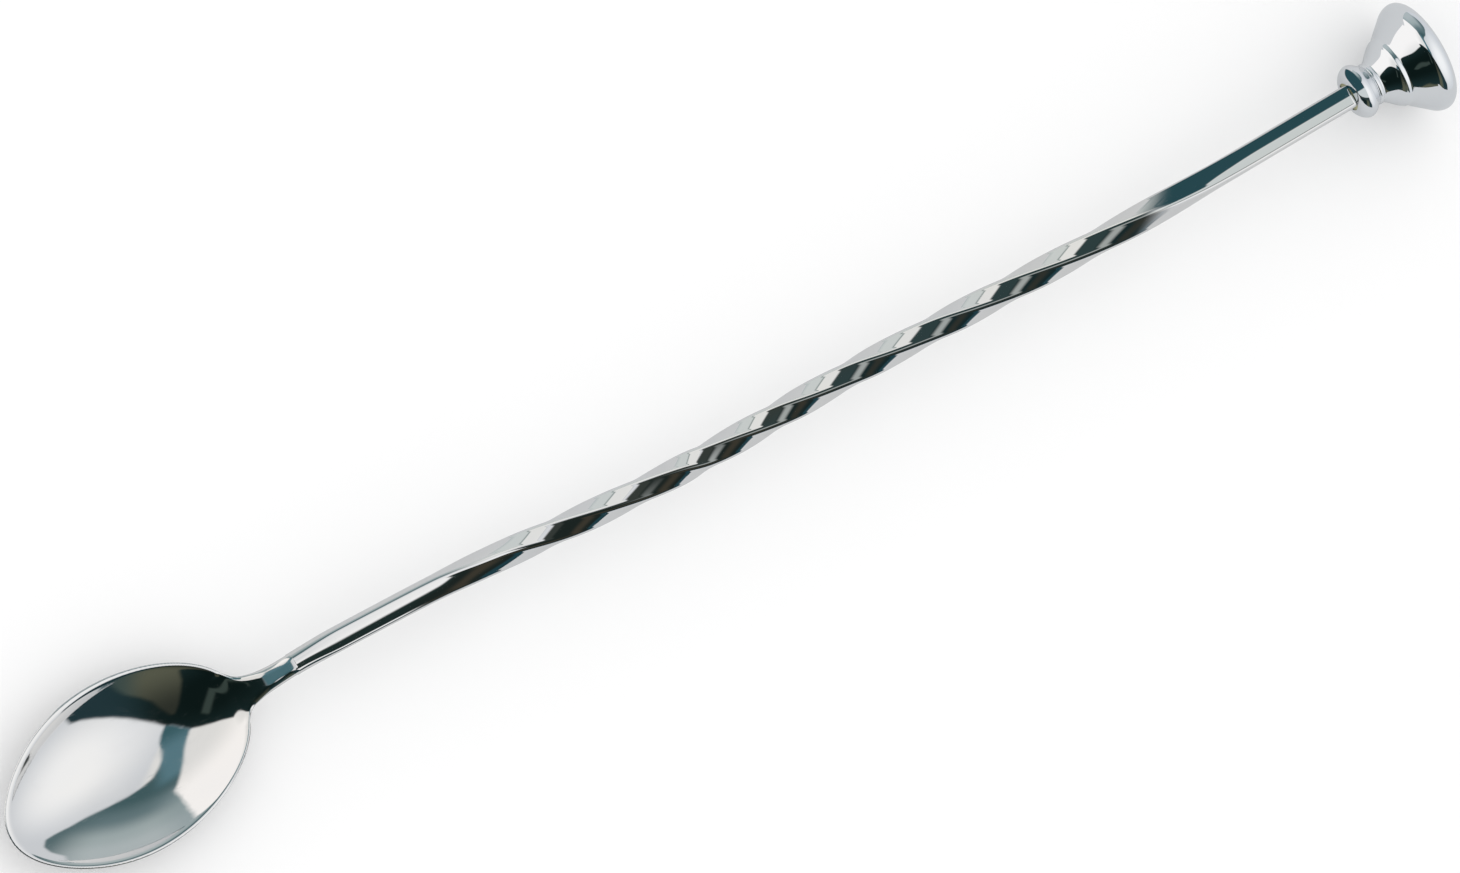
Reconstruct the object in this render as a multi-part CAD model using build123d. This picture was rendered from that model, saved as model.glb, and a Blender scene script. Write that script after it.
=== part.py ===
from build123d import *
import math
import os

os.makedirs("parts", exist_ok=True)

# ---------------------------------------------------------------- driving dimensions (mm)
# Frame: +X from the bowl to the muddler face, +Y left, +Z up from the table. The origin is the
# middle of the overall footprint, on the table. The spoon lies on the bowl's belly and the lip.
X_WELD = -83.78            # where the neck is butt-welded to the square bar

# bowl
BOWL_L = 48.4             # rim length before its edge is rounded
BOWL_W = 29.9            # rim width before its edge is rounded
BOWL_D = 7.1              # outside depth below the rim
SHEET = 0.8               # wall thickness
RIM_LAND = 1.0            # width of the flat rim
RIM_R = 0.25              # edge rounding of the rim
BOWL_YAW = 4.55           # deg, the bowl is set slightly round to the left
BOWL_X = X_WELD - 32.95   # centre of the rim
Y_LINE = 2.78             # the muddler's axis at the bead's mouth, left of the bowl's middle
BOWL_Y = 0.0

# bar
AF = 3.95                 # across flats
CORNER_R = 0.87           # rounded corners
X_BAR_END = X_WELD + 208.01 + 9.0

# finial, measured from the bead's mouth along its own axis
FIN_X = X_WELD + 208.01
FIN_Y = Y_LINE
FIN_YAW = 2.2
RIM_RAD = 9.88            # lip radius = height of the finial's axis over the table
AXIS_Z = RIM_RAD
SOCKET_R = 2.52
SOCKET_DEPTH = 9.3
FIN_LEN = 15.95

# centreline of neck and bar, (x from the weld, y, z)
LINE = [(-10.17, -0.98, 8.10), (-6.98, -1.02, 8.16), (-3.49, -0.92, 8.22), (0.0, -0.7, 8.30),
        (6.98, -0.47, 8.45), (13.96, -0.46, 8.53), (26.03, -0.53, 8.593), (38.09, -0.93, 8.641),
        (51.95, -1.76, 8.705), (62.32, -2.22, 8.759), (72.79, -2.5, 8.815), (83.16, -2.38, 8.88),
        (93.53, -2.05, 8.994), (105.7, -1.7, 9.084), (121.25, -1.56, 9.201), (138.6, -1.62, 9.333),
        (152.56, -1.63, 9.437), (166.32, -1.5, 9.539), (180.19, -1.15, 9.653), (190.56, -0.73, 9.737),
        (199.63, -0.34, 9.825), (208.01, 0.0, 9.88), (216.98, 0.335, 9.905)]

# twist: angle of the square section about +X at stations along the bar (deg, right hand)
TWIST = [(0.0, -804.0), (7.98, -803.0), (19.94, -801.0), (27.72, -798.5), (31.21, -791.0), (34.6, -780.0),
         (41.58, -764.0), (49.86, -721.0), (58.03, -675.0), (66.71, -630.0), (74.49, -585.0), (79.67, -540.0),
         (86.65, -495.0), (93.53, -450.0), (99.91, -405.0), (108.29, -360.0), (115.17, -315.0),
         (124.34, -270.0), (131.62, -225.0), (139.8, -180.0), (147.78, -135.0), (157.25, -90.0),
         (167.52, -45.0), (174.0, -22.0), (181.48, -6.0), (189.46, 0.0), (216.98, 0.0)]


def pchip(points, column):
    """Monotone cubic interpolation of one column of a table."""
    xs = [p[0] for p in points]
    ys = [p[column] for p in points]
    n = len(xs)
    h = [xs[i + 1] - xs[i] for i in range(n - 1)]
    dl = [(ys[i + 1] - ys[i]) / h[i] for i in range(n - 1)]
    m = [0.0] * n
    for i in range(1, n - 1):
        if dl[i - 1] * dl[i] > 0:
            w1, w2 = 2 * h[i] + h[i - 1], h[i] + 2 * h[i - 1]
            m[i] = (w1 + w2) / (w1 / dl[i - 1] + w2 / dl[i])
    m[0], m[-1] = dl[0], dl[-1]

    def f(x):
        x = min(max(x, xs[0]), xs[-1])
        i = 0
        while i < n - 2 and x > xs[i + 1]:
            i += 1
        t = (x - xs[i]) / h[i]
        return (ys[i] * (2 * t ** 3 - 3 * t ** 2 + 1) + m[i] * h[i] * (t ** 3 - 2 * t ** 2 + t)
                + ys[i + 1] * (-2 * t ** 3 + 3 * t ** 2) + m[i + 1] * h[i] * (t ** 3 - t ** 2))
    return f


def natural(points, column):
    """Natural cubic spline of one column of a table."""
    xs = [p[0] for p in points]
    ys = [p[column] for p in points]
    n = len(xs)
    a, b, c, r = [0.0] * n, [1.0] * n, [0.0] * n, [0.0] * n
    for i in range(1, n - 1):
        h0, h1 = xs[i] - xs[i - 1], xs[i + 1] - xs[i]
        a[i], b[i], c[i] = h0, 2 * (h0 + h1), h1
        r[i] = 6 * ((ys[i + 1] - ys[i]) / h1 - (ys[i] - ys[i - 1]) / h0)
    for i in range(1, n):
        w = a[i] / b[i - 1]
        b[i] -= w * c[i - 1]
        r[i] -= w * r[i - 1]
    m = [0.0] * n
    for i in range(n - 2, 0, -1):
        m[i] = (r[i] - c[i] * m[i + 1]) / b[i]

    def f(x):
        x = min(max(x, xs[0]), xs[-1])
        i = 0
        while i < n - 2 and x > xs[i + 1]:
            i += 1
        h = xs[i + 1] - xs[i]
        u, v = xs[i + 1] - x, x - xs[i]
        return (m[i] * u ** 3 / (6 * h) + m[i + 1] * v ** 3 / (6 * h)
                + (ys[i] / h - m[i] * h / 6) * u + (ys[i + 1] / h - m[i + 1] * h / 6) * v)
    return f


bow = natural(LINE, 1)
line_z = natural(LINE, 2)
twist = pchip(TWIST, 1)


def line_y(x):
    return Y_LINE + bow(x)


def plane_at(x, phi=0.0):
    """Plane square to the centreline at x from the weld. Its x axis is +Y turned by phi about the line."""
    e = 0.05
    t = Vector(2 * e, line_y(x + e) - line_y(x - e), line_z(x + e) - line_z(x - e))
    if x < LINE[0][0] + e:
        t = Vector(e, line_y(x + e) - line_y(x), line_z(x + e) - line_z(x))
    if x > LINE[-1][0] - e:
        t = Vector(e, line_y(x) - line_y(x - e), line_z(x) - line_z(x - e))
    t = t.normalized()
    side = Vector(0, 0, 1).cross(t).normalized()
    up = t.cross(side)
    a = math.radians(phi)
    d = side * math.cos(a) + up * math.sin(a)
    return Plane(origin=(X_WELD + x, line_y(x), line_z(x)), x_dir=d, z_dir=t)


# ---------------------------------------------------------------- twisted stem
def bar_section(x):
    grow = min(max(x / 9.0, 0.0), 1.0)
    grow = grow * grow * (3 - 2 * grow)
    af = 3.72 + (AF - 3.72) * grow
    r = 1.25 + (CORNER_R - 1.25) * grow
    return plane_at(x, twist(x)) * RectangleRounded(af, af, r)


def stretch(x0, x1, count):
    """One length of bar, lofted through count + 1 sections."""
    return loft([bar_section(x0 + (x1 - x0) * i / count) for i in range(count + 1)], ruled=False)


twisted_stem = (stretch(0.0, 25.0, 10) + stretch(25.0, 72.0, 22) + stretch(72.0, 120.0, 24)
                + stretch(120.0, 168.0, 22) + stretch(168.0, 216.98, 12))

# ---------------------------------------------------------------- bowl with its neck
b_out = BOWL_W / 2
R_out = (b_out ** 2 + BOWL_D ** 2) / (2 * BOWL_D)
z0 = R_out - BOWL_D
R_in = R_out - SHEET
b_in = math.sqrt(R_in ** 2 - z0 ** 2)
a_out = BOWL_L / 2
a_in = a_out - RIM_LAND
below = Pos(0, 0, -20) * Box(80, 60, 40)

place = Pos(BOWL_X, BOWL_Y, BOWL_D) * Rot(0, 0, BOWL_YAW)
outer = place * ((Pos(0, 0, z0) * scale(Sphere(R_out), by=(a_out / b_out, 1, 1))) & below)
inner = place * ((Pos(0, 0, z0) * scale(Sphere(R_in), by=(a_in / b_in, 1, 1))) & below)

# neck: half width, thickness, height of its middle at stations from the weld
NECK = [(-13.0, 4.4, 1.4, 5.65), (-11.4, 3.5, 1.8, 5.95), (-10.0, 2.75, 2.1, 6.25), (-8.6, 2.42, 2.45, 6.55),
        (-6.8, 2.2, 2.75, 6.92), (-4.5, 1.98, 3.15, 7.42), (-2.2, 1.87, 3.5, 7.90), (0.0, 1.86, 3.72, 8.30)]
secs = []
for x, hw, th, zc in NECK:
    yaw = math.radians(BOWL_YAW)
    xx = max(x, LINE[0][0])
    yc = line_y(xx) + (x - xx) * math.tan(yaw)
    if x == 0.0:
        secs.append(plane_at(0.0, 0.0) * RectangleRounded(2 * hw, th, 1.25))
    else:
        r = min(1.25, th * 0.42)
        p = Plane(origin=(X_WELD + x, yc, zc), x_dir=(0, 1, 0), z_dir=(1, 0, 0))
        secs.append(p * RectangleRounded(2 * hw, th, r))
neck = loft(secs, ruled=False)
shell = outer - inner
rim_edges = [e for e in shell.edges() if abs(e.bounding_box().min.Z - BOWL_D) < 1e-3
             and abs(e.bounding_box().max.Z - BOWL_D) < 1e-3]
shell = fillet(rim_edges, RIM_R)
bowl = shell + (neck - inner)

# ---------------------------------------------------------------- finial
fin_place = Pos(FIN_X, FIN_Y, AXIS_Z) * Rot(0, 0, FIN_YAW)


def turned(points_builder):
    return fin_place * revolve(points_builder, axis=Axis.X, revolution_arc=360)


with BuildSketch(Plane.XY) as sk_bead:
    with BuildLine():
        l1 = Line((0.35, SOCKET_R), (0.35, 2.95))
        l2 = Spline((0.35, 2.95), (0.55, 3.55), (0.95, 4.08), (1.55, 4.53), (2.26, 4.74), (2.97, 4.55), (3.6, 4.12),
                    (4.05, 3.75), (4.35, 3.45), tangents=[(0.05, 1), (0.7, -0.75)])
        l3 = Line((4.35, 3.45), (4.35, SOCKET_R))
        l4 = Line((4.35, SOCKET_R), (0.35, SOCKET_R))
    make_face()
collar_bead = turned(sk_bead.sketch)

# cone profile from the bead's back face to the lip: a waist fillet, a small step, then the flare
with BuildSketch(Plane.XY) as sk_cone:
    with BuildLine():
        c1 = Line((4.35, SOCKET_R), (4.35, 3.45))
        c2 = Spline((4.35, 3.45), (4.8, 3.68), (5.4, 3.66), (7.0, 4.97), (8.2, 5.89),
                    tangents=[(0.5, 0.7), (0.86, 0.52)])
        c3 = Spline((8.2, 5.89), (9.0, 6.20), (10.8, 7.66), (12.45, 8.96), tangents=[(0.86, 0.40), (0.78, 0.62)])
        c4 = Spline((12.45, 8.96), (13.3, 9.57), (14.45, RIM_RAD), (15.53, 9.46), (FIN_LEN, 8.6),
                    tangents=[(0.76, 0.60), (0.02, -1)])
        c5 = Line((FIN_LEN, 8.6), (FIN_LEN, 0))
        c6 = Line((FIN_LEN, 0), (SOCKET_DEPTH, 0))
        c7 = Line((SOCKET_DEPTH, 0), (SOCKET_DEPTH, SOCKET_R))
        c8 = Line((SOCKET_DEPTH, SOCKET_R), (4.35, SOCKET_R))
    make_face()
muddler_head = turned(sk_cone.sketch)

# ---------------------------------------------------------------- braze between bar and socket
braze_ring = fin_place * Pos(0.55, 0, 0) * extrude(Plane.YZ * Circle(SOCKET_R - 0.005), amount=3.0)
braze_ring = braze_ring - (fin_place * Pos(-1, 0, 0) * extrude(Plane.YZ * RectangleRounded(AF + 0.03, AF + 0.03, CORNER_R),
                                                            amount=8))

parts = {
    "bowl": bowl,
    "twisted_stem": twisted_stem,
    "collar_bead": collar_bead,
    "muddler_head": muddler_head,
    "braze_ring": braze_ring,
}
lo, hi = [1e9] * 3, [-1e9] * 3
for name, shape in parts.items():
    bb = shape.bounding_box()
    lo = [min(lo[0], bb.min.X), min(lo[1], bb.min.Y), min(lo[2], bb.min.Z)]
    hi = [max(hi[0], bb.max.X), max(hi[1], bb.max.Y), max(hi[2], bb.max.Z)]
    print(name, "valid", shape.is_valid, "vol", round(shape.volume, 2), "solids", len(shape.solids()),
          "x %.2f..%.2f y %.2f..%.2f z %.2f..%.2f" % (bb.min.X, bb.max.X, bb.min.Y, bb.max.Y, bb.min.Z, bb.max.Z))
    export_step(shape, "parts/" + name + ".step")
print("box", [round(v, 3) for v in lo], [round(v, 3) for v in hi], "middle x", round((lo[0] + hi[0]) / 2, 3),
      "y", round((lo[1] + hi[1]) / 2, 3))
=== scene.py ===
import math

import bpy
import numpy as np
from mathutils import Matrix, Vector


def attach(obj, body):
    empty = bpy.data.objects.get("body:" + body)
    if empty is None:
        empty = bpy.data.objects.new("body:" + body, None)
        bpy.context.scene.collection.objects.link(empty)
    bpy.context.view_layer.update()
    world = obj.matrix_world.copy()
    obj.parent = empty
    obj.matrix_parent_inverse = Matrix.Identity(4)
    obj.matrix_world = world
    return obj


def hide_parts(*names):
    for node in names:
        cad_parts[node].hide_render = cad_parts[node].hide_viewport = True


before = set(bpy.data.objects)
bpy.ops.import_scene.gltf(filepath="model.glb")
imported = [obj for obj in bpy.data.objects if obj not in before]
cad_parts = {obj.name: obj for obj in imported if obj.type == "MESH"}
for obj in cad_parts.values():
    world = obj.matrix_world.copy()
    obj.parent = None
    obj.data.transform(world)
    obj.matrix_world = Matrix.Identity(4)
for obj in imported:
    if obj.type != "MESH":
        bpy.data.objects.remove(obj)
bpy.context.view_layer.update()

MM = 0.001

# ================================================================ shared sizes (mm, the frame's own axes)
X_WELD = -83.78
Y_LINE = 2.78
AXIS_Z = 9.88
AF = 3.95
CORNER_R = 0.87
FIN_X = X_WELD + 208.01
FIN_YAW = math.radians(2.2)
BOWL_X = X_WELD - 32.95
BOWL_YAW = math.radians(4.55)
RIM_Z = 7.1

LINE = np.array([(-10.17, -0.98, 8.10), (-6.98, -1.02, 8.16), (-3.49, -0.92, 8.22), (0.0, -0.7, 8.30),
                 (6.98, -0.47, 8.45), (13.96, -0.46, 8.53), (26.03, -0.53, 8.593), (38.09, -0.93, 8.641),
                 (51.95, -1.76, 8.705), (62.32, -2.22, 8.759), (72.79, -2.5, 8.815), (83.16, -2.38, 8.88),
                 (93.53, -2.05, 8.994), (105.7, -1.7, 9.084), (121.25, -1.56, 9.201), (138.6, -1.62, 9.333),
                 (152.56, -1.63, 9.437), (166.32, -1.5, 9.539), (180.19, -1.15, 9.653), (190.56, -0.73, 9.737),
                 (199.63, -0.34, 9.825), (208.01, 0.0, 9.88), (216.98, 0.335, 9.905)])

TWIST = np.array([(0.0, -804.0), (7.98, -803.0), (19.94, -801.0), (27.72, -798.5), (31.21, -791.0),
                  (34.6, -780.0), (41.58, -764.0), (49.86, -721.0), (58.03, -675.0), (66.71, -630.0),
                  (74.49, -585.0), (79.67, -540.0), (86.65, -495.0), (93.53, -450.0), (99.91, -405.0),
                  (108.29, -360.0), (115.17, -315.0), (124.34, -270.0), (131.62, -225.0), (139.8, -180.0),
                  (147.78, -135.0), (157.25, -90.0), (167.52, -45.0), (174.0, -22.0), (181.48, -6.0),
                  (189.46, 0.0), (216.98, 0.0)])


def natural(xs, ys):
    """Natural cubic spline through the points, as a function of an array."""
    n = len(xs)
    A = np.zeros((n, n))
    r = np.zeros(n)
    A[0, 0] = A[-1, -1] = 1.0
    for i in range(1, n - 1):
        h0, h1 = xs[i] - xs[i - 1], xs[i + 1] - xs[i]
        A[i, i - 1], A[i, i], A[i, i + 1] = h0, 2 * (h0 + h1), h1
        r[i] = 6 * ((ys[i + 1] - ys[i]) / h1 - (ys[i] - ys[i - 1]) / h0)
    m = np.linalg.solve(A, r)

    def f(x):
        x = np.asarray(x, float)
        xc = np.clip(x, xs[0], xs[-1])
        i = np.clip(np.searchsorted(xs, xc) - 1, 0, n - 2)
        h = xs[i + 1] - xs[i]
        u, v = xs[i + 1] - xc, xc - xs[i]
        y = (m[i] * u ** 3 / (6 * h) + m[i + 1] * v ** 3 / (6 * h)
             + (ys[i] / h - m[i] * h / 6) * u + (ys[i + 1] / h - m[i + 1] * h / 6) * v)
        s0 = (ys[1] - ys[0]) / (xs[1] - xs[0]) - (xs[1] - xs[0]) * m[1] / 6
        s1 = (ys[-1] - ys[-2]) / (xs[-1] - xs[-2]) + (xs[-1] - xs[-2]) * m[-2] / 6
        return y + np.where(x < xs[0], (x - xs[0]) * s0, 0) + np.where(x > xs[-1], (x - xs[-1]) * s1, 0)
    return f


def pchip(xs, ys):
    n = len(xs)
    h = np.diff(xs)
    dl = np.diff(ys) / h
    m = np.zeros(n)
    for i in range(1, n - 1):
        if dl[i - 1] * dl[i] > 0:
            w1, w2 = 2 * h[i] + h[i - 1], h[i] + 2 * h[i - 1]
            m[i] = (w1 + w2) / (w1 / dl[i - 1] + w2 / dl[i])
    m[0], m[-1] = dl[0], dl[-1]

    def f(x):
        x = np.clip(np.asarray(x, float), xs[0], xs[-1])
        i = np.clip(np.searchsorted(xs, x) - 1, 0, n - 2)
        t = (x - xs[i]) / h[i]
        return (ys[i] * (2 * t ** 3 - 3 * t ** 2 + 1) + m[i] * h[i] * (t ** 3 - 2 * t ** 2 + t)
                + ys[i + 1] * (-2 * t ** 3 + 3 * t ** 2) + m[i + 1] * h[i] * (t ** 3 - t ** 2))
    return f


bow = natural(LINE[:, 0], LINE[:, 1])
line_z = natural(LINE[:, 0], LINE[:, 2])
twist = pchip(TWIST[:, 0], TWIST[:, 1])


def sstep(a, b, x):
    t = np.clip((x - a) / (b - a), 0, 1)
    return t * t * (3 - 2 * t)


# ================================================================ meshes
def make_object(name, verts_mm, faces, smooth=True):
    me = bpy.data.meshes.new(name)
    me.from_pydata([tuple(v) for v in (np.asarray(verts_mm) * MM)], [], [tuple(int(i) for i in f) for f in faces])
    me.validate()
    me.update()
    me.polygons.foreach_set("use_smooth", [smooth] * len(me.polygons))
    ob = bpy.data.objects.new(name, me)
    bpy.context.scene.collection.objects.link(ob)
    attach(ob, "root")
    return ob


def frames_along(x):
    """Centre, side and up vectors of the stem's line at x from the weld."""
    x = np.asarray(x, float)
    e = 0.05
    c = np.stack([X_WELD + x, Y_LINE + bow(x), line_z(x)], -1)
    t = np.stack([np.full_like(x, 2 * e), bow(x + e) - bow(x - e), line_z(x + e) - line_z(x - e)], -1)
    t /= np.linalg.norm(t, axis=-1, keepdims=True)
    side = np.cross([0.0, 0.0, 1.0], t)
    side /= np.linalg.norm(side, axis=-1, keepdims=True)
    up = np.cross(t, side)
    return c, t, side, up


def rounded_square(n_flat, n_arc):
    """Unit description of a rounded square: for each point, the flat's corner signs and the arc angle."""
    pts = []
    for q in range(4):
        for j in range(n_arc):
            pts.append((q, q * 90.0 + 90.0 * j / n_arc, 0.0))
        for j in range(n_flat):
            pts.append((q, q * 90.0 + 90.0, j / n_flat))
    return pts


SECTION = rounded_square(12, 14)
CROWN = 0.085


def section_points(h, r):
    """Points of a rounded square of half size h and corner radius r (arrays over stations)."""
    out_y, out_z = [], []
    for q, ang, f in SECTION:
        a = math.radians(ang)
        sy = [1, -1, -1, 1][q]
        sz = [1, 1, -1, -1][q]
        y = sy * (h - r) + r * math.cos(a)
        z = sz * (h - r) + r * math.sin(a)
        q2 = (q + 1) % 4
        sy2 = [1, -1, -1, 1][q2]
        sz2 = [1, 1, -1, -1][q2]
        y = y + f * (sy2 - sy) * (h - r)
        z = z + f * (sz2 - sz) * (h - r)
        # polishing leaves the flats a few hundredths of a millimetre proud in the middle
        rise = CROWN * 4 * f * (1 - f)
        y = y + rise * (sy + sy2) / 2
        z = z + rise * (sz + sz2) / 2
        out_y.append(y)
        out_z.append(z)
    return np.stack(out_y, -1), np.stack(out_z, -1)


def tube_faces(n, m, close_start=True, close_end=True):
    faces = []
    for i in range(n - 1):
        for j in range(m):
            a, b = i * m + j, i * m + (j + 1) % m
            faces.append((a, b, b + m, a + m))
    if close_start:
        faces.append(tuple(reversed(range(m))))
    if close_end:
        faces.append(tuple(range((n - 1) * m, n * m)))
    return faces


# ---------------------------------------------------------------- stem
def build_stem():
    x = np.concatenate([np.arange(0.0, 28.0, 0.5), np.arange(28.0, 190.0, 0.3), np.arange(190.0, 216.93, 0.6),
                        [216.98]])
    grow = sstep(0.0, 9.0, x)
    h = (3.72 + (AF - 3.72) * grow) / 2
    r = 1.25 + (CORNER_R - 1.25) * grow
    y, z = section_points(h, r)
    c, t, side, up = frames_along(x)
    phi = np.radians(twist(x))
    cy, sy = np.cos(phi)[:, None], np.sin(phi)[:, None]
    Y = y * cy - z * sy
    Z = y * sy + z * cy
    P = c[:, None] + side[:, None] * Y[..., None] + up[:, None] * Z[..., None]
    n, m = P.shape[:2]
    ob = make_object("polished_stem", P.reshape(-1, 3), tube_faces(n, m))
    me = ob.data
    ends = np.array([(e.vertices[0] < m and e.vertices[1] < m)
                     or (e.vertices[0] >= (n - 1) * m and e.vertices[1] >= (n - 1) * m) for e in me.edges])
    att = me.attributes.get("sharp_edge") or me.attributes.new("sharp_edge", "BOOLEAN", "EDGE")
    att.data.foreach_set("value", ends)
    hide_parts("twisted_stem")
    return ob


# ---------------------------------------------------------------- turned pieces
def catmull(points, per):
    """Smooth curve through profile points (x, r), a natural spline on chord length, sampled densely."""
    p = np.array(points, float)
    d = np.concatenate([[0], np.cumsum(np.linalg.norm(np.diff(p, axis=0), axis=1))])
    fx, fr = natural(d, p[:, 0]), natural(d, p[:, 1])
    s = np.linspace(0, d[-1], per)
    return np.stack([fx(s), fr(s)], -1)


def turned(name, pieces, seg=240):
    """Revolves a list of profile runs. Runs meet at creases, where vertices are doubled by a sharp edge."""
    prof = []
    sharp = []
    for run in pieces:
        run = [tuple(q) for q in run]
        if prof and np.allclose(prof[-1], run[0], atol=1e-6):
            sharp.append(len(prof) - 1)
            run = run[1:]
        prof += run
    prof = np.array(prof)
    closed = np.allclose(prof[0], prof[-1], atol=1e-6)
    if closed:
        prof = prof[:-1]
        sharp.append(0)
    n = len(prof)
    a = np.linspace(0, 2 * math.pi, seg, endpoint=False)
    cx, sx = math.cos(FIN_YAW), math.sin(FIN_YAW)
    verts, index = [], []
    for i in range(n):
        x, r = prof[i]
        if r < 1e-6:
            index.append([len(verts)] * seg)
            verts.append((FIN_X + x * cx, Y_LINE + x * sx, AXIS_Z))
            continue
        row = []
        for k in range(seg):
            ly, lz = r * math.cos(a[k]), r * math.sin(a[k])
            row.append(len(verts))
            verts.append((FIN_X + x * cx - ly * sx, Y_LINE + x * sx + ly * cx, AXIS_Z + lz))
        index.append(row)
    faces = []
    last = n if closed else n - 1
    for i in range(last):
        j = (i + 1) % n
        for k in range(seg):
            k2 = (k + 1) % seg
            f = [index[i][k], index[j][k], index[j][k2], index[i][k2]]
            g = []
            for v in f:
                if v not in g:
                    g.append(v)
            if len(g) > 2:
                faces.append(tuple(g))
    ob = make_object(name, verts, faces)
    me = ob.data
    ring = {}
    for s in sharp:
        if index[s][0] != index[s][1]:
            for k in range(seg):
                ring[(min(index[s][k], index[s][(k + 1) % seg]), max(index[s][k], index[s][(k + 1) % seg]))] = True
    flags = [False] * len(me.edges)
    for e in me.edges:
        if tuple(sorted(e.vertices)) in ring:
            flags[e.index] = True
    att = me.attributes.get("sharp_edge") or me.attributes.new("sharp_edge", "BOOLEAN", "EDGE")
    att.data.foreach_set("value", flags)
    return ob


SOCKET_R = 2.52
SOCKET_DEPTH = 9.3
FIN_LEN = 15.95


def build_finial():
    bead = turned("collar_ring", [
        [(4.35, SOCKET_R), (0.35, SOCKET_R)],
        catmull([(0.35, SOCKET_R), (0.33, 2.75), (0.36, 3.0), (0.55, 3.55), (0.95, 4.08), (1.55, 4.53), (2.26, 4.74),
                 (2.97, 4.55), (3.6, 4.12), (4.05, 3.75), (4.3, 3.52), (4.35, 3.45)], 60),
        [(4.35, 3.45), (4.35, SOCKET_R)],
    ])
    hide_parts("collar_bead")
    head = turned("muddler_end", [
        [(SOCKET_DEPTH, 0.0), (SOCKET_DEPTH, SOCKET_R)],
        [(SOCKET_DEPTH, SOCKET_R), (4.35, SOCKET_R)],
        [(4.35, SOCKET_R), (4.35, 3.45)],
        catmull([(4.35, 3.45), (4.45, 3.60), (4.75, 3.72), (5.05, 3.66), (5.25, 3.60), (5.55, 3.74), (5.95, 4.05),
                 (7.0, 4.97), (7.9, 5.71), (8.2, 5.89)], 60),
        catmull([(8.2, 5.89), (8.5, 6.08), (8.75, 6.14), (9.0, 6.20), (9.3, 6.41), (9.9, 6.93), (10.8, 7.66),
                 (11.8, 8.44), (12.45, 8.96)], 50),
        catmull([(12.45, 8.96), (12.8, 9.26), (13.3, 9.57), (13.9, 9.80), (14.45, 9.88), (15.0, 9.79), (15.53, 9.46),
                 (15.85, 9.05), (15.95, 8.6)], 50),
        [(15.95, 8.6), (15.95, 4.0), (15.95, 0.0)],
    ])
    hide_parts("muddler_head")
    return bead, head


# ---------------------------------------------------------------- bowl and neck, as a level set
def smin(a, b, k):
    h = np.clip(0.5 + 0.5 * (b - a) / k, 0, 1)
    return b * (1 - h) + a * h - k * h * (1 - h)


def smax(a, b, k):
    return -smin(-a, -b, k)


def ellipsoid(u, v, w, ax, by, cz):
    """Close to the signed distance of an ellipsoid."""
    k0 = np.sqrt((u / ax) ** 2 + (v / by) ** 2 + (w / cz) ** 2)
    k1 = np.sqrt((u / ax ** 2) ** 2 + (v / by ** 2) ** 2 + (w / cz ** 2) ** 2)
    return k0 * (k0 - 1.0) / np.maximum(k1, 1e-9)


A_OUT, B_OUT, DEPTH, WALL, LAND = 24.05, 14.93, 7.1, 0.8, 1.0
R_OUT = (B_OUT ** 2 + DEPTH ** 2) / (2 * DEPTH)
Z0 = R_OUT - DEPTH
R_IN = R_OUT - WALL
B_IN = math.sqrt(R_IN ** 2 - Z0 ** 2)
SX_OUT = A_OUT / B_OUT
SX_IN = (A_OUT - LAND) / B_IN

NECK = np.array([(-18.0, 7.5, 1.2, 3.55), (-15.5, 6.0, 1.6, 4.45), (-13.2, 4.6, 2.1, 5.35), (-11.4, 3.5, 2.5, 6.02),
                 (-10.0, 2.75, 2.7, 6.35), (-8.6, 2.42, 2.8, 6.65), (-6.8, 2.2, 2.95, 7.02),
                 (-4.5, 1.98, 3.2, 7.48), (-2.2, 1.87, 3.5, 7.90), (-0.6, 1.86, 3.68, 8.22), (0.0, 1.86, 3.72, 8.30),
                 (3.0, 1.88, 3.76, 8.40)])
neck_hw = natural(NECK[:, 0], NECK[:, 1])
neck_th = natural(NECK[:, 0], NECK[:, 2])
neck_zc = natural(NECK[:, 0], NECK[:, 3])


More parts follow.
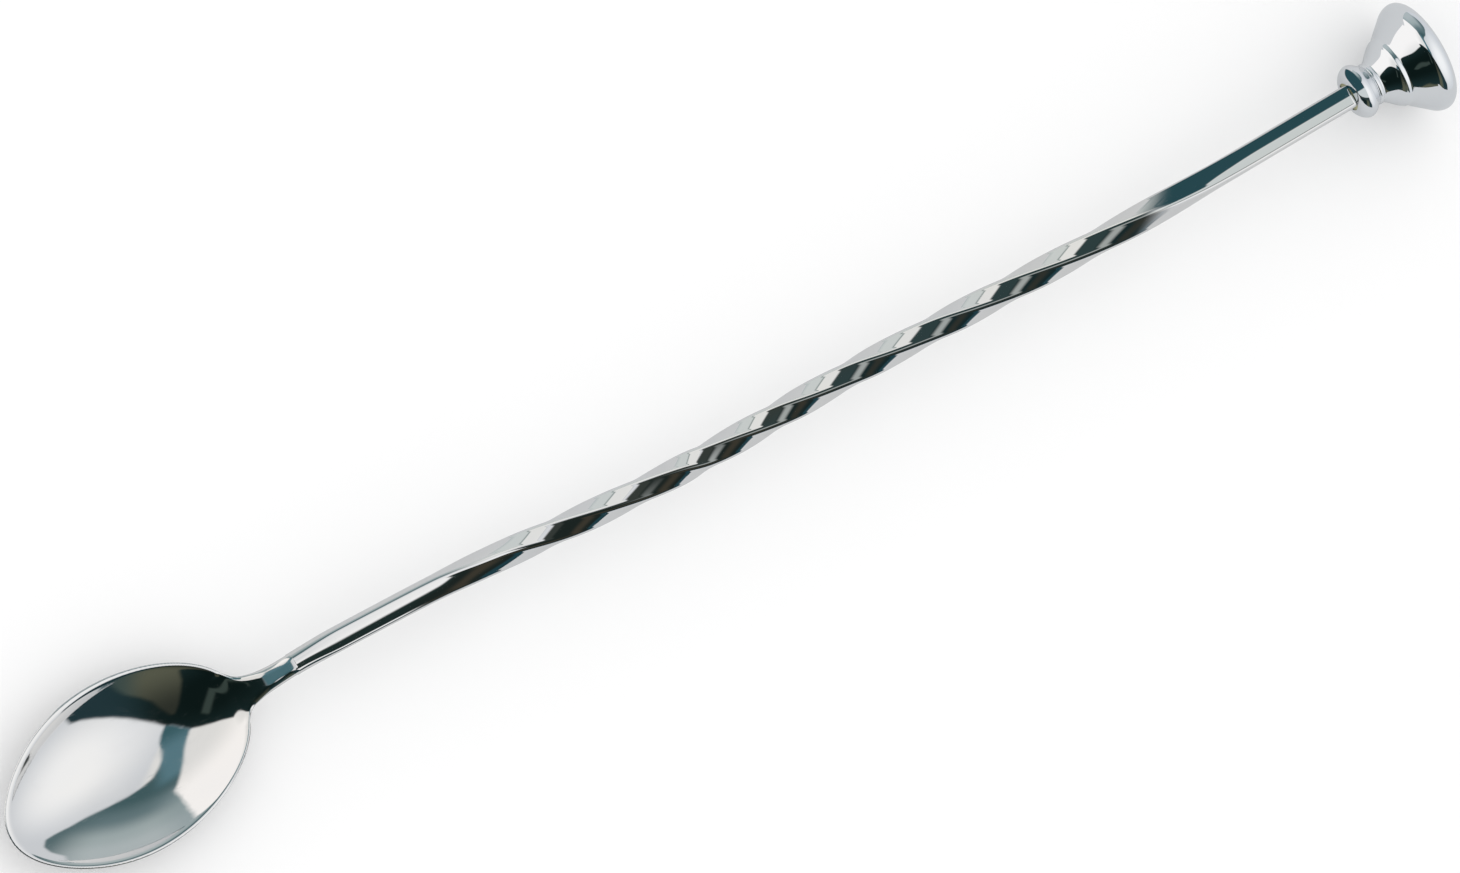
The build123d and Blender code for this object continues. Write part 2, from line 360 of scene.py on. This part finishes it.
def bowl_field(P):
    """Negative inside the metal of bowl and neck. P in mm, frame axes."""
    x, y, z = P[..., 0], P[..., 1], P[..., 2]
    c, s = math.cos(BOWL_YAW), math.sin(BOWL_YAW)
    u = (x - BOWL_X) * c + y * s
    v = -(x - BOWL_X) * s + y * c
    w = z - RIM_Z
    # the outline is a little leaner than an ellipse on the diagonals
    th = np.arctan2(v / B_OUT, u / A_OUT)
    lean = 1 - (0.011 - 0.009 * np.cos(th)) * (1 - np.cos(4 * th))
    u0 = u
    u, v = u / lean, v / lean
    f_out = ellipsoid(u, v, w - Z0, R_OUT * SX_OUT, R_OUT, R_OUT)
    f_in = ellipsoid(u, v, w - Z0, R_IN * SX_IN, R_IN, R_IN)
    # the rim is rolled over towards its outer edge
    e = np.sqrt((u / A_OUT) ** 2 + (v / B_OUT) ** 2)
    edge = (1 - e) * e / np.maximum(np.sqrt((u / A_OUT ** 2) ** 2 + (v / B_OUT ** 2) ** 2), 1e-9)
    roll = np.clip(LAND - edge, 0, 1.6)
    body = smax(f_out, (w + 0.36 * roll ** 2) / np.sqrt(1 + (0.72 * roll) ** 2), 0.5)
    # neck: rounded bar with changing size
    xl = x - X_WELD
    xc = np.clip(xl, -18.0, 3.0)
    hw, th, zc = neck_hw(xc), neck_th(xc), neck_zc(xc)
    yc = np.where(xc < -10.2, Y_LINE - 0.98 + (xc + 10.2) * math.tan(BOWL_YAW), Y_LINE + bow(xc))
    r = np.minimum(1.25, th * 0.45)
    qy = np.abs(y - yc) - (hw - r)
    qz = np.abs(z - zc) - (th / 2 - r)
    f_neck = np.sqrt(np.maximum(qy, 0) ** 2 + np.maximum(qz, 0) ** 2) + np.minimum(np.maximum(qy, qz), 0) - r
    f_neck = smax(f_neck, -(xl + 17.0), 0.5)
    solid = smin(body, f_neck, 1.9)
    # the hollow runs out smoothly on to the top of the neck
    strip = sstep(5.4, 3.4, np.abs(y - yc)) * sstep(15.0, 18.0, u0)
    hollow = smax(f_in, w - 0.05 - 3.0 * np.maximum(sstep(22.0, 10.0, u0), strip), 0.4)
    above = 0.96 * (zc + th / 2 - z) + 0.5 * sstep(25.0, 30.0, u0) + 6.0 * sstep(18.5, 15.0, u0)
    above = smax(above, np.abs(y - yc) - np.minimum(hw, 3.6) - 0.7, 1.2)
    air = smin(hollow, above, 0.3 + 1.5 * sstep(18.5, 22.5, u0) * sstep(7.0, 3.0, np.abs(v)))
    return smax(solid, -air, 0.5)


def surface_nets(field, lo, hi, step):
    """Closed quad mesh of field = 0 on a regular grid, moved on to the surface by Newton steps."""
    ax = [np.arange(lo[i], hi[i] + step, step) for i in range(3)]
    n = [len(a) for a in ax]
    vals = np.empty(n, np.float32)
    yy, zz = np.meshgrid(ax[1], ax[2], indexing="ij")
    for i0 in range(0, n[0], 16):
        xs = ax[0][i0:i0 + 16]
        P = np.empty((len(xs), n[1], n[2], 3))
        P[..., 0] = xs[:, None, None]
        P[..., 1] = yy[None]
        P[..., 2] = zz[None]
        vals[i0:i0 + 16] = field(P)
    inside = vals < 0
    c = np.zeros([k - 1 for k in n], np.int8)
    for dx in (0, 1):
        for dy in (0, 1):
            for dz in (0, 1):
                c += inside[dx:n[0] - 1 + dx, dy:n[1] - 1 + dy, dz:n[2] - 1 + dz]
    cell = (c > 0) & (c < 8)
    idx = np.full(cell.shape, -1, np.int64)
    where = np.argwhere(cell)
    idx[tuple(where.T)] = np.arange(len(where))
    acc = np.zeros((len(where), 3))
    cnt = np.zeros(len(where))
    for axis in range(3):
        o1, o2 = [k for k in range(3) if k != axis]
        for a in (0, 1):
            for b in (0, 1):
                p = where.copy()
                p[:, o1] += a
                p[:, o2] += b
                q = p.copy()
                q[:, axis] += 1
                v0, v1 = vals[tuple(p.T)], vals[tuple(q.T)]
                cut = (v0 < 0) != (v1 < 0)
                t = np.where(cut, v0 / np.where(cut, v0 - v1, 1), 0)
                pos = np.stack([(ax[k][p[:, k]]) for k in range(3)], -1).astype(float)
                pos[:, axis] += t * step
                acc[cut] += pos[cut]
                cnt[cut] += 1
    verts = acc / cnt[:, None]
    faces = []
    for axis in range(3):
        o1, o2 = (axis + 1) % 3, (axis + 2) % 3
        sl0 = [slice(None)] * 3
        sl1 = [slice(None)] * 3
        sl0[axis], sl1[axis] = slice(0, -1), slice(1, None)
        a, b = inside[tuple(sl0)], inside[tuple(sl1)]
        for flip, mask in ((False, a & ~b), (True, ~a & b)):
            e = np.argwhere(mask)
            ok = (e[:, o1] > 0) & (e[:, o2] > 0)
            e = e[ok]
            quad = []
            for d1, d2 in ((0, 0), (-1, 0), (-1, -1), (0, -1)):
                p = e.copy()
                p[:, o1] += d1
                p[:, o2] += d2
                quad.append(idx[tuple(p.T)])
            quad = np.stack(quad, -1)
            if flip:
                quad = quad[:, ::-1]
            faces.append(quad)
    faces = np.concatenate(faces)
    e = 1e-3
    for it in range(6):
        f = field(verts)
        g = np.stack([field(verts + np.eye(3)[k] * e) - field(verts - np.eye(3)[k] * e) for k in range(3)], -1) / (2 * e)
        g2 = np.maximum((g ** 2).sum(-1), 0.05)
        move = -(f / g2)[:, None] * g
        ln = np.linalg.norm(move, axis=1)
        move *= np.minimum(1, 0.5 * step / np.maximum(ln, 1e-9))[:, None]
        verts = verts + move
    return verts, faces, g / np.linalg.norm(g, axis=-1, keepdims=True)


def build_bowl(step=0.22):
    lo = (X_WELD - 58.2, -16.0, -0.6)
    hi = (X_WELD + 1.2, 16.0, 12.6)
    c0, t0, _, _ = [q[0] for q in frames_along(np.array([0.0]))]

    def plane(P):
        return (P - c0) @ t0

    def cut_field(P):
        return np.maximum(bowl_field(P), plane(P))

    verts, faces, nrm = surface_nets(cut_field, lo, hi, step)
    # the end that is welded to the bar: flat, with a clean edge
    d = plane(verts)
    end = np.abs(d) < 0.6 * step
    verts[end] -= d[end][:, None] * t0
    side = end & (bowl_field(verts) > -0.75 * step)
    e = 1e-3
    for _ in range(8):
        q = verts[side]
        f = bowl_field(q)
        g = np.stack([bowl_field(q + np.eye(3)[k] * e) - bowl_field(q - np.eye(3)[k] * e) for k in range(3)], -1) / (2 * e)
        g -= (g @ t0)[:, None] * t0
        verts[side] = q - (f / np.maximum((g ** 2).sum(-1), 0.05))[:, None] * g
    e = 2e-3
    nrm = np.stack([bowl_field(verts + np.eye(3)[k] * e) - bowl_field(verts - np.eye(3)[k] * e) for k in range(3)], -1)
    nrm[side] -= (nrm[side] @ t0)[:, None] * t0
    nrm /= np.maximum(np.linalg.norm(nrm, axis=-1, keepdims=True), 1e-9)
    cap = end[faces].all(1)
    nrm[end & ~side] = t0
    # outward winding check
    f0 = faces[:2000]
    a, b, c = verts[f0[:, 0]], verts[f0[:, 1]], verts[f0[:, 2]]
    fn = np.cross(b - a, c - a)
    if np.sum(np.einsum("ij,ij->i", fn, nrm[f0[:, 0]])) < 0:
        faces = faces[:, ::-1]
    return verts, faces, nrm, cap, t0


verts, faces, nrm, cap, t0 = build_bowl()
print("bowl mesh", len(verts), len(faces))
bowl_ob = make_object("spoon_bowl", verts, faces)
me = bowl_ob.data
assert len(me.polygons) == len(faces)
loops = nrm[faces]
loops[cap] = t0
me.normals_split_custom_set(loops.reshape(-1, 3).tolist())
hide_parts("bowl")
stem_ob = build_stem()
bead_ob, head_ob = build_finial()

# ================================================================ camera
D_PX = 0.1634                      # mm in the picture per picture unit
K_TILT = 0.33
ANG = math.radians(28.044)
f_ = math.sqrt(1 - K_TILT ** 2)
fwd = Vector((K_TILT, 0.0, -f_))
along = Vector((f_, 0.0, K_TILT))          # picture direction of +X
left = Vector((0.0, 1.0, 0.0))
# picture: along points 28 degrees above the right-hand axis
right = along * math.cos(ANG) - left * math.sin(ANG)
up = along * math.sin(ANG) + left * math.cos(ANG)
anchor = Vector((X_WELD, Y_LINE, 8.2)) * MM     # seen at (290, 660)
W, H = 1460, 873
px = D_PX * MM
centre = anchor + right * ((W / 2 - 290.38) * px) + up * ((660.7 - H / 2) * px)
cam = bpy.data.cameras.new("camera")
cam.sensor_width = 36.0
cam.lens = 900.0
dist = W * px * cam.lens / 36.0
cam_ob = bpy.data.objects.new("camera", cam)
bpy.context.scene.collection.objects.link(cam_ob)
rot = Matrix((right, up, -fwd)).transposed()
cam_ob.matrix_world = Matrix.Translation(centre - fwd * dist) @ rot.to_4x4()
cam.clip_start = 0.05
cam.clip_end = 100.0
bpy.context.scene.camera = cam_ob


# ================================================================ materials
class Nodes:
    """Short names for building a node tree."""

    def __init__(self, mat):
        mat.use_nodes = True
        self.t = mat.node_tree
        self.t.nodes.clear()

    def new(self, kind, **props):
        n = self.t.nodes.new(kind)
        for k, v in props.items():
            setattr(n, k, v)
        return n

    def link(self, a, b):
        self.t.links.new(a, b)

    def put(self, socket, v):
        if isinstance(v, bpy.types.NodeSocket):
            self.link(v, socket)
        elif v is not None:
            socket.default_value = v

    def math(self, op, a, b=None, c=None, clamp=False):
        n = self.new("ShaderNodeMath", operation=op, use_clamp=clamp)
        for i, v in enumerate((a, b, c)):
            self.put(n.inputs[i], v)
        return n.outputs[0]

    def ramp(self, v, a, b, lo=0.0, hi=1.0, kind="SMOOTHSTEP"):
        n = self.new("ShaderNodeMapRange", interpolation_type=kind)
        for i, q in enumerate((v, a, b, lo, hi)):
            self.put(n.inputs[i], q)
        return n.outputs[0]

    def coords(self, scale=(1, 1, 1), turn=(0, 0, 0)):
        tc = self.new("ShaderNodeTexCoord")
        mp = self.new("ShaderNodeMapping")
        mp.inputs["Scale"].default_value = scale
        mp.inputs["Rotation"].default_value = turn
        self.link(tc.outputs["Object"], mp.inputs["Vector"])
        return mp.outputs[0]

    def noise(self, vec, scale, detail=2.0, rough=0.5, distort=0.0):
        n = self.new("ShaderNodeTexNoise")
        self.link(vec, n.inputs["Vector"])
        n.inputs["Scale"].default_value = scale
        n.inputs["Detail"].default_value = detail
        n.inputs["Roughness"].default_value = rough
        n.inputs["Distortion"].default_value = distort
        return n.outputs["Fac"]

    def bump(self, height, distance, normal=None):
        n = self.new("ShaderNodeBump")
        n.inputs["Strength"].default_value = 1.0
        n.inputs["Distance"].default_value = distance
        self.link(height, n.inputs["Height"])
        if normal is not None:
            self.link(normal, n.inputs["Normal"])
        return n.outputs[0]

    def mix(self, f, a, b):
        n = self.new("ShaderNodeMix", data_type="RGBA")
        self.put(n.inputs[0], f)
        for s, v in ((n.inputs[6], a), (n.inputs[7], b)):
            if isinstance(v, bpy.types.NodeSocket):
                self.link(v, s)
            else:
                s.default_value = (*v, 1.0)
        return n.outputs[2]


def polished(name, color, warm, rough, lines, wave, wave_size, haze):
    """Mirror polished metal: fine polishing lines, hairline scratches, wipe marks and a slight waviness."""
    m = bpy.data.materials.new(name)
    k = Nodes(m)
    # polishing lines run along the spoon
    fine = k.noise(k.coords((60.0, 4200.0, 4200.0)), 1.0, 3.0, 0.6)
    broad = k.noise(k.coords((22.0, 900.0, 900.0)), 1.0, 2.0, 0.5)
    # hairline scratches at a slant, few and thin
    hair_a = k.noise(k.coords((260.0, 6500.0, 900.0), (0.0, 0.0, 0.62)), 1.0, 1.0, 0.4, 0.15)
    hair_b = k.noise(k.coords((300.0, 7200.0, 900.0), (0.0, 0.0, -0.95)), 1.0, 1.0, 0.4, 0.15)
    scratch = k.math("MAXIMUM", k.ramp(hair_a, 0.70, 0.78), k.ramp(hair_b, 0.71, 0.79))
    smudge = k.ramp(k.noise(k.coords((95.0, 160.0, 160.0)), 1.0, 4.0, 0.62, 0.6), 0.50, 0.74)
    waves = k.noise(k.coords((1.0, 1.0, 1.0)), wave_size, 2.0, 0.45)
    geo = k.new("ShaderNodeNewGeometry")
    worn = k.ramp(geo.outputs["Pointiness"], 0.56, 0.70)
    r = k.math("MULTIPLY_ADD", smudge, haze, rough)
    r = k.math("MULTIPLY_ADD", fine, lines, r)
    r = k.math("MULTIPLY_ADD", scratch, 0.10, r)
    r = k.math("MULTIPLY_ADD", worn, 0.03, r)
    tone = k.ramp(k.noise(k.coords((30.0, 60.0, 60.0)), 1.0, 3.0, 0.55), 0.32, 0.70)
    col = k.mix(tone, color, warm)
    col = k.mix(k.math("MULTIPLY", smudge, 0.10), col, tuple(0.86 * c for c in color))
    col = k.mix(k.math("MULTIPLY", worn, 0.25), col, tuple(min(1.0, 1.08 * c) for c in color))
    nrm = k.bump(waves, wave)
    nrm = k.bump(broad, 1.2e-7, nrm)
    nrm = k.bump(fine, 0.5e-7, nrm)
    nrm = k.bump(scratch, -2.0e-7, nrm)
    b = k.new("ShaderNodeBsdfPrincipled")
    b.inputs["Metallic"].default_value = 1.0
    k.link(col, b.inputs["Base Color"])
    k.link(r, b.inputs["Roughness"])
    k.link(nrm, b.inputs["Normal"])
    out = k.new("ShaderNodeOutputMaterial")
    k.link(b.outputs[0], out.inputs[0])
    return m


steel = polished("polished_steel", (0.755, 0.757, 0.760), (0.770, 0.764, 0.752), 0.030, 0.028, 1.4e-6, 420.0, 0.045)
chrome = polished("chrome_plate", (0.775, 0.795, 0.815), (0.785, 0.800, 0.815), 0.016, 0.012, 0.7e-6, 500.0, 0.030)


def braze_material():
    m = bpy.data.materials.new("braze_metal")
    k = Nodes(m)
    grain = k.noise(k.coords((1400.0, 1400.0, 1400.0)), 1.0, 4.0, 0.6)
    stain = k.ramp(k.noise(k.coords((420.0, 420.0, 420.0)), 1.0, 3.0, 0.6), 0.4, 0.65)
    col = k.mix(stain, (0.66, 0.64, 0.36), (0.40, 0.38, 0.24))
    b = k.new("ShaderNodeBsdfPrincipled")
    b.inputs["Metallic"].default_value = 1.0
    k.link(col, b.inputs["Base Color"])
    k.link(k.math("MULTIPLY_ADD", grain, 0.25, 0.28), b.inputs["Roughness"])
    k.link(k.bump(grain, 2.0e-5), b.inputs["Normal"])
    out = k.new("ShaderNodeOutputMaterial")
    k.link(b.outputs[0], out.inputs[0])
    return m


braze = braze_material()
for o in (bowl_ob, stem_ob):
    o.data.materials.append(steel)
for o in (bead_ob, head_ob):
    o.data.materials.append(chrome)
b_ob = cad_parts["braze_ring"]
b_ob.data.materials.clear()
b_ob.data.materials.append(braze)

# ================================================================ studio
# A plain pale floor and an even white surround light the scene. What the bright metal mirrors is a round tent
# about the bowl, with white cloth, a grey-teal panel on the far left and a dark opening on the near side. Only
# reflections see the tent.
DOME_R = 0.42
DOME_C = Vector((X_WELD - 33.0, 0.0, 0.0)) * MM


def plane_of(az, el):
    """Stereographic picture of the sky: the zenith at the origin, the horizon on the unit circle."""
    az, el = np.radians(az), np.radians(el)
    r = np.tan((math.pi / 2 - el) / 2)
    return np.stack([r * np.cos(az), r * np.sin(az)], -1)


def inside(poly, q):
    """Which points q are inside the polygon given as (azimuth, elevation) corners."""
    p = plane_of(np.array([c[0] for c in poly], float), np.array([c[1] for c in poly], float))
    x, y = q[..., 0], q[..., 1]
    hit = np.zeros(x.shape, bool)
    for i in range(len(p)):
        (x0, y0), (x1, y1) = p[i], p[(i + 1) % len(p)]
        if y0 == y1:
            continue
        c = ((y0 > y) != (y1 > y)) & (x < (x1 - x0) * (y - y0) / (y1 - y0) + x0)
        hit ^= c
    return hit


def grey(h):
    """Linear light of a display colour written as six hex digits."""
    v = np.array([int(h[i:i + 2], 16) for i in (0, 2, 4)]) / 255.0
    return np.where(v <= 0.04045, v / 12.92, ((v + 0.055) / 1.055) ** 2.4)


DARK = [(-56, -12), (-59, -3), (-59.1, 3.3), (-58.9, 12.7), (-62.5, 18.3), (-66.8, 27.1), (-72.3, 38.1), (-77.2, 48.1),
        (-81.7, 56.2), (-89.5, 64.3), (-105.2, 73.2), (-118, 74.6), (-134.3, 76.6), (178.4, 75.5), (167.2, 70.5),
        (161.5, 63.5), (159.5, 58), (156.0, 50), (154, 38), (152, 20), (150, -12), (165, -12), (180, -12),
        (-160, -12), (-140, -12), (-120, -12), (-100, -12), (-80, -12)]
TEAL = [(-105.2, 73.2), (-100.7, 81.3), (-98.2, 88.1), (89.3, 83.8), (84.4, 76.6), (79.1, 71.1), (73.4, 65.4),
        (63.5, 62.0), (54.0, 58.5), (43.9, 54.6), (38.2, 50.1), (34.2, 45.0), (30.2, 37.5), (25.4, 29.1),
        (23.6, 22.5), (27.5, 15.5), (34.0, 11.0), (41.0, 8.0), (46.0, -12), (60, -12), (82, -12), (85.2, 0), (86.3, 9.0),
        (87.3, 23.2), (87.6, 34.6), (86.8, 43.7), (89.4, 47.0), (93.8, 53.5), (103.3, 63.4), (119.3, 72.1),
        (152.5, 76.5), (178.4, 75.7), (-134.3, 76.8), (-118, 74.8)]
OLIVE = [(-98, -12), (-98, 5), (-101.2, 21.8), (-105, 32.8), (-108.4, 45.9), (-112.1, 57.6), (-113.5, 66.1),
         (-108, 64.7), (-96.4, 54.6), (-90.9, 43.8), (-85.5, 34), (-80.1, 22.4), (-76.6, 5.9), (-77.5, -12)]
STREAK = [(-139.5, 44.2), (-131.5, 44.2), (-158, 66.5), (-174, 64.6)]


def sky(az, el):
    """Light of the tent at azimuth and elevation (degrees) from the bowl, as arrays."""
    q = plane_of(az, el)
    d = np.stack([np.cos(np.radians(el)) * np.cos(np.radians(az)), np.cos(np.radians(el)) * np.sin(np.radians(az)),
                  np.sin(np.radians(el))], -1)

    def toward(a, e):
        v = np.array([math.cos(math.radians(e)) * math.cos(math.radians(a)),
                      math.cos(math.radians(e)) * math.sin(math.radians(a)), math.sin(math.radians(e))])
        return np.degrees(np.arccos(np.clip(d @ v, -1, 1)))[..., None]

    def blend(t, a, b):
        return a * (1 - t) + b * t

    def s(a, b, x):
        t = np.clip((x - a) / (b - a), 0, 1)
        return t * t * (3 - 2 * t)
    az_, el_ = az[..., None], el[..., None]
    # white cloth, brightest straight ahead of the spoon, a little greyer at its borders
    c = blend(s(8, 55, toward(-32, 47)), grey("ededed"), grey("c6c9cd"))
    far = s(58, 72, az_) * s(178, 168, az_)
    c = blend(far, c, blend(s(34, 62, el_), grey("f2efed"), grey("dad9d7")))
    # teal panel: dark along its top and its left edge, paler low down
    p = blend(s(56, 40, el_), grey("3f585c"), grey("5f7377"))
    p = blend(s(42, 24, el_), p, grey("9aa6a7"))
    p = blend(s(26, 10, el_), p, grey("a8b1b3"))
    p = blend(s(50, 27, az_) * s(60, 45, el_) * 0.92, p, grey("4c6266"))
    p = blend(0.55 * s(70, 87, az_) * s(50, 35, el_), p, grey("7b8c8f"))
    strip = s(50, 60, el_) * s(72, 88, az_ + 400 * (az_ < 0)) + s(72, 76, el_)
    strip = np.clip(strip, 0, 1)
    p = blend(strip, p, blend(s(14, 34, toward(100, 66)), grey("54757f"), grey("395a61")))
    m = inside(TEAL, q)[..., None]
    c = np.where(m, p, c)
    # dark opening
    p = blend(s(15, 60, toward(-140, 45)), grey("0c1716"), grey("1b2c2d"))
    p = blend(s(-92, -70, az_) * (az_ < 0), p, grey("213439"))
    m = inside(DARK, q)[..., None]
    c = np.where(m, p, c)
    m = inside(OLIVE, q)[..., None]
    o = blend(s(10, 60, el_), grey("545648"), grey("2c2f29"))
    o = blend(s(-88, -78, az_), o, grey("3c4a47"))
    c = np.where(m, o, c)
    m = inside(STREAK, q)[..., None]
    c = np.where(m, grey("343f3b"), c)
    return c


def build_tent():
    n_az, n_el = 480, 124
    el0, el1 = -2.0, 90.0
    az = -180 + 360.0 * np.arange(n_az) / n_az
    el = el0 + (el1 - el0) * np.arange(n_el) / n_el
    AZ, EL = np.meshgrid(az, el)
    # soft borders: each point is the mean of a small patch of the sky round it
    col = 0
    rng = [(a, b) for a in (-1.0, -0.5, 0.0, 0.5, 1.0) for b in (-1.0, -0.5, 0.0, 0.5, 1.0)]
    for a, b in rng:
        e2 = np.clip(EL + 0.8 * b, -19, 89.9)
        a2 = AZ + 0.8 * a / np.maximum(np.cos(np.radians(EL)), 0.08)
        a2 = (a2 + 180) % 360 - 180
        col = col + sky(a2, e2)
    col = col / len(rng)
    ra, re = np.radians(AZ), np.radians(EL)
    P = np.stack([np.cos(re) * np.cos(ra), np.cos(re) * np.sin(ra), np.sin(re)], -1).reshape(-1, 3)
    top = len(P)
    P = np.vstack([P, [[0, 0, 1]]]) * DOME_R + np.array(DOME_C)
    faces = []
    for i in range(n_el - 1):
        for j in range(n_az):
            a, b = i * n_az + j, i * n_az + (j + 1) % n_az
            faces.append((a, a + n_az, b + n_az, b))
    for j in range(n_az):
        faces.append(((n_el - 1) * n_az + j, top, (n_el - 1) * n_az + (j + 1) % n_az))
    me = bpy.data.meshes.new("tent")
    me.from_pydata([tuple(p) for p in P], [], faces)
    me.update()
    att = me.color_attributes.new("light", "FLOAT_COLOR", "POINT")
    c = np.ones((len(P), 4), np.float32)
    c[:top, :3] = col.reshape(-1, 3)
    c[top, :3] = col[-1].mean(0)
    att.data.foreach_set("color", c.ravel())
    ob = bpy.data.objects.new("tent", me)
    bpy.context.scene.collection.objects.link(ob)
    m = bpy.data.materials.new("tent")
    k = Nodes(m)
    a = k.new("ShaderNodeVertexColor", layer_name="light")
    e = k.new("ShaderNodeEmission")
    k.link(a.outputs["Color"], e.inputs["Color"])
    e.inputs["Strength"].default_value = 1.0 / 0.76
    out = k.new("ShaderNodeOutputMaterial")
    k.link(e.outputs[0], out.inputs[0])
    m.cycles.emission_sampling = "NONE"
    me.materials.append(m)
    reflection_only(ob)
    return ob


def reflection_only(ob):
    ob.visible_camera = False
    ob.visible_diffuse = False
    ob.visible_shadow = False
    ob.visible_transmission = False
    ob.visible_volume_scatter = False


tent = build_tent()

# The bar also mirrors things close above it: the dark underside of a low overhead rig and its pale side flaps.
# They are a part of a cylinder round the bar, painted by the angle from straight up (plus is to the left), and
# they show only to reflections that start within a few centimetres of them, which are the bar's own.
CANOPY_R = 40.0


def band(t, a, b, soft=1.6):
    """1 between the angles a and b (a above b), with soft borders."""
    return sstep(a + soft, a - soft, t) * sstep(b - soft, b + soft, t)


def canopy_light(xs, t):
    """Colour and cover of the canopy for a bar position xs (mm, frame x) and an angle t (degrees)."""
    c = np.zeros(xs.shape + (3,)) + grey("c9cfcc")
    cover = np.zeros(xs.shape)

    def lay(m, colour):
        nonlocal c, cover
        m = np.clip(m, 0, 1)
        k = np.where(cover + m > 1e-6, m / np.maximum(np.maximum(cover, m), 1e-6), 0)[..., None]
        c = c * (1 - k) + colour * k
        cover = np.maximum(cover, m)
    early = sstep(-48.0, -56.0, xs)
    first = sstep(-66.0, -60.0, xs) * sstep(-36.0, -41.0, xs)
    rest = sstep(-45.0, -41.0, xs) * sstep(88.0, 80.0, xs)
    last = sstep(80.0, 88.0, xs)
    late = sstep(-10.0, 30.0, xs)[..., None]
    notch = sstep(-26.0, 6.0, xs)
    top = 14 + 16 * sstep(-34.0, 10.0, xs)
    dark = grey("1c2422") * (1 - late) + grey("172729") * late
    over = grey("343936") * (1 - late) + grey("2d3d3e") * late
    # pale flap on the left with a thin dark seam
    flap = sstep(-58.0, -44.0, xs) * sstep(92.0, 84.0, xs)
    lay(flap * band(t, 88, 56, 8.0), grey("c4c9c8"))
    lay(flap * band(t, 57, 26, 2.0), grey("dddddb"))
    lay(0.6 * flap * band(t, 60, 57, 1.5), grey("76827e"))
    # underside of the rig
    lay(early * band(t, -17, -40, 3.0), grey("1d2a29"))
    lay(first * band(t, -24, -86, 3.0), dark)
    lay(rest * band(t, top, -88, 3.0), dark)
    lay(rest * band(t, top, -4, 4.0), over)
    lay(0.62 * rest * notch * band(t, -9, -27, 6.0), grey("c0c5c3"))
    warm = (first + rest * (1 - 0.45 * late[..., 0])) * band(t, -42, -62, 8.0)
    lay(np.clip(warm, 0, 1), grey("39362e"))
    lay((first + rest) * band(t, -76, -88, 3.0), grey("1f3b43"))
    # towards the muddler: teal on the left, pale on the right
    lay(last * band(t, 88, 0.5, 2.5), grey("27464d"))
    lay(last * band(t, 0.5, -28), grey("c3c9c9"))
    lay(last * band(t, -28, -36), grey("2c3a3a"))
    return c, cover


def build_canopy():
    xs = np.arange(-84.0, 125.8, 0.8)
    t = np.arange(-101.0, 91.0, 1.0)
    X, T = np.meshgrid(xs, t, indexing="ij")
    # it draws in round the bar before the muddler, which mirrors the tent alone
    rad = CANOPY_R + (6.2 - CANOPY_R) * sstep(56.0, 100.0, X)
    col, cover = canopy_light(X - 0.35 * rad, T)
    ra = np.radians(T)
    P = np.stack([X, Y_LINE + bow(X - X_WELD) + rad * np.sin(ra), line_z(X - X_WELD) + rad * np.cos(ra)],
                 -1).reshape(-1, 3)
    P[:, 2] = np.maximum(P[:, 2], 0.2)
    n, m = X.shape
    i, j = np.meshgrid(np.arange(n - 1), np.arange(m - 1), indexing="ij")
    a = (i * m + j).ravel()
    faces = np.stack([a, a + 1, a + m + 1, a + m], -1)
    me = bpy.data.meshes.new("canopy")
    me.from_pydata((P * MM).tolist(), [], faces.tolist())
    me.update()
    att = me.color_attributes.new("light", "FLOAT_COLOR", "POINT")
    c = np.ones((n * m, 4), np.float32)
    c[:, :3] = col.reshape(-1, 3)
    att.data.foreach_set("color", c.ravel())
    att = me.attributes.new("cover", "FLOAT", "POINT")
    att.data.foreach_set("value", cover.ravel().astype(np.float32))
    ob = bpy.data.objects.new("canopy", me)
    bpy.context.scene.collection.objects.link(ob)
    mat = bpy.data.materials.new("canopy")
    k = Nodes(mat)
    a = k.new("ShaderNodeVertexColor", layer_name="light")
    e = k.new("ShaderNodeEmission")
    k.link(a.outputs["Color"], e.inputs["Color"])
    e.inputs["Strength"].default_value = 1.0 / 0.76
    cov = k.new("ShaderNodeAttribute", attribute_name="cover")
    near = k.math("LESS_THAN", k.new("ShaderNodeLightPath").outputs["Ray Length"], 0.060)
    mix = k.new("ShaderNodeMixShader")
    k.link(k.math("MULTIPLY", cov.outputs["Fac"], near), mix.inputs[0])
    k.link(k.new("ShaderNodeBsdfTransparent").outputs[0], mix.inputs[1])
    k.link(e.outputs[0], mix.inputs[2])
    out = k.new("ShaderNodeOutputMaterial")
    k.link(mix.outputs[0], out.inputs[0])
    mat.cycles.emission_sampling = "NONE"
    me.materials.append(mat)
    reflection_only(ob)
    return ob


canopy = build_canopy()

world = bpy.data.worlds.new("studio")
bpy.context.scene.world = world
world.use_nodes = True
world.node_tree.nodes["Background"].inputs["Color"].default_value = (1.0, 1.0, 1.0, 1)
world.node_tree.nodes["Background"].inputs["Strength"].default_value = 1.07
bpy.context.scene.view_settings.view_transform = "Standard"

bpy.ops.mesh.primitive_plane_add(size=6.0, location=(0, 0, -0.0002))
floor = bpy.context.object
floor.name = "floor"
fm = bpy.data.materials.new("floor")
k = Nodes(fm)
b = k.new("ShaderNodeBsdfDiffuse")
lp = k.new("ShaderNodeLightPath")
# painted shade: reflections see the floor as a darker grey (0.68-0.70) than the camera does (0.955), standing in for
# the shade on the floor round the spoon
k.link(k.mix(lp.outputs["Is Glossy Ray"], (0.955, 0.955, 0.955), (0.68, 0.69, 0.70)), b.inputs["Color"])
out = k.new("ShaderNodeOutputMaterial")
k.link(b.outputs[0], out.inputs[0])
floor.data.materials.append(fm)

bpy.context.view_layer.update()
